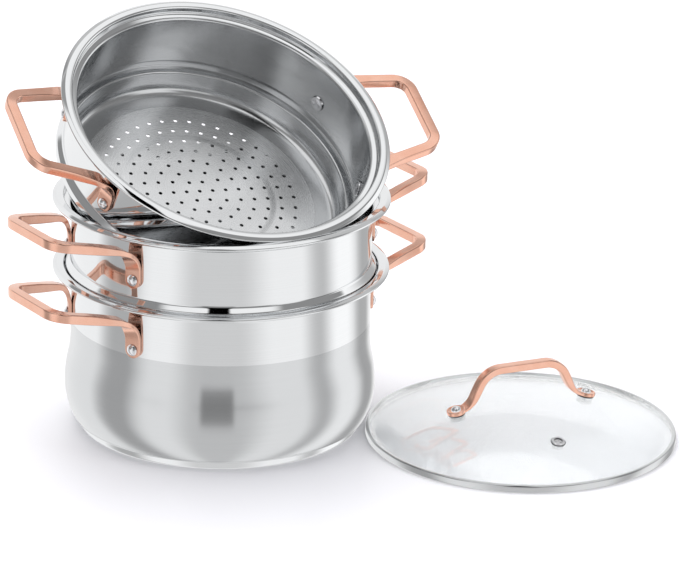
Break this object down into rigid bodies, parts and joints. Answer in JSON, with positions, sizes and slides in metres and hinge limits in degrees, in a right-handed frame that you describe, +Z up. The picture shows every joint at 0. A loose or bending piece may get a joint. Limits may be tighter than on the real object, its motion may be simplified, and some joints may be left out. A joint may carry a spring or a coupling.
{
  "type": "steamer pot",
  "caption": "Stacked stainless steamer pot with bellied base pot, pierced steamer tiers, copper-coloured loop handles and a domed glass lid lying beside it.",
  "frame": {"origin": "centre of the underside of the pot's base, on the surface it stands on", "axes": "+Z up the pot's axis; +X through the right-hand handles of the pot and the middle steamer; -Y toward the side where the top steamer dips and the lid lies"},
  "size_m": [0.5348, 0.4504, 0.3481],
  "materials": {
    "polished_steel": "mirror polished walls and lips, with a satin brushed belly on the pot",
    "satin_copper": "steel bar plated in satin copper",
    "base_aluminium": "plain, closed inside the base",
    "bright_rivets": "bright polished heads",
    "clear_glass": "clear toughened glass",
    "dark_rubber": "matt black silicone rubber"
  },
  "bodies": {
    "pot": {"pot_body": "polished_steel", "pot_base_core": "base_aluminium", "pot_base_cap": "polished_steel", "pot_handle_left": "satin_copper", "pot_handle_right": "satin_copper", "pot_rivets_left": "bright_rivets", "pot_rivets_right": "bright_rivets"},
    "middle_steamer": {"middle_steamer_wall": "polished_steel", "middle_steamer_floor": "polished_steel", "middle_steamer_handle_left": "satin_copper", "middle_steamer_handle_right": "satin_copper", "middle_steamer_rivets_left": "bright_rivets", "middle_steamer_rivets_right": "bright_rivets"},
    "top_steamer": {"top_steamer_wall": "polished_steel", "top_steamer_floor": "polished_steel", "top_steamer_handle_left": "satin_copper", "top_steamer_handle_right": "satin_copper", "top_steamer_rivets_left": "bright_rivets", "top_steamer_rivets_right": "bright_rivets"},
    "lid": {"lid_glass": "clear_glass", "lid_rim_band": "polished_steel", "lid_handle": "satin_copper", "lid_handle_gaskets": "dark_rubber", "lid_inner_gaskets": "dark_rubber", "lid_handle_rivets": "bright_rivets", "steam_vent_eyelet": "bright_rivets", "steam_vent_gasket": "dark_rubber"}
  },
  "joints": [
    {"name": "middle_steamer_lift", "type": "slide", "parent": "pot", "child": "middle_steamer", "axis": [0, 0, 1], "range_m": [0, 0.12]},
    {"name": "top_steamer_lift", "type": "slide", "parent": "middle_steamer", "child": "top_steamer", "axis": [0, 0, 1], "range_m": [0, 0.15]},
    {"name": "lid_lift", "type": "slide", "parent": "pot", "child": "lid", "axis": [0.5445, -0.4511, 0.7071], "range_m": [0, 0.35]}
  ]
}
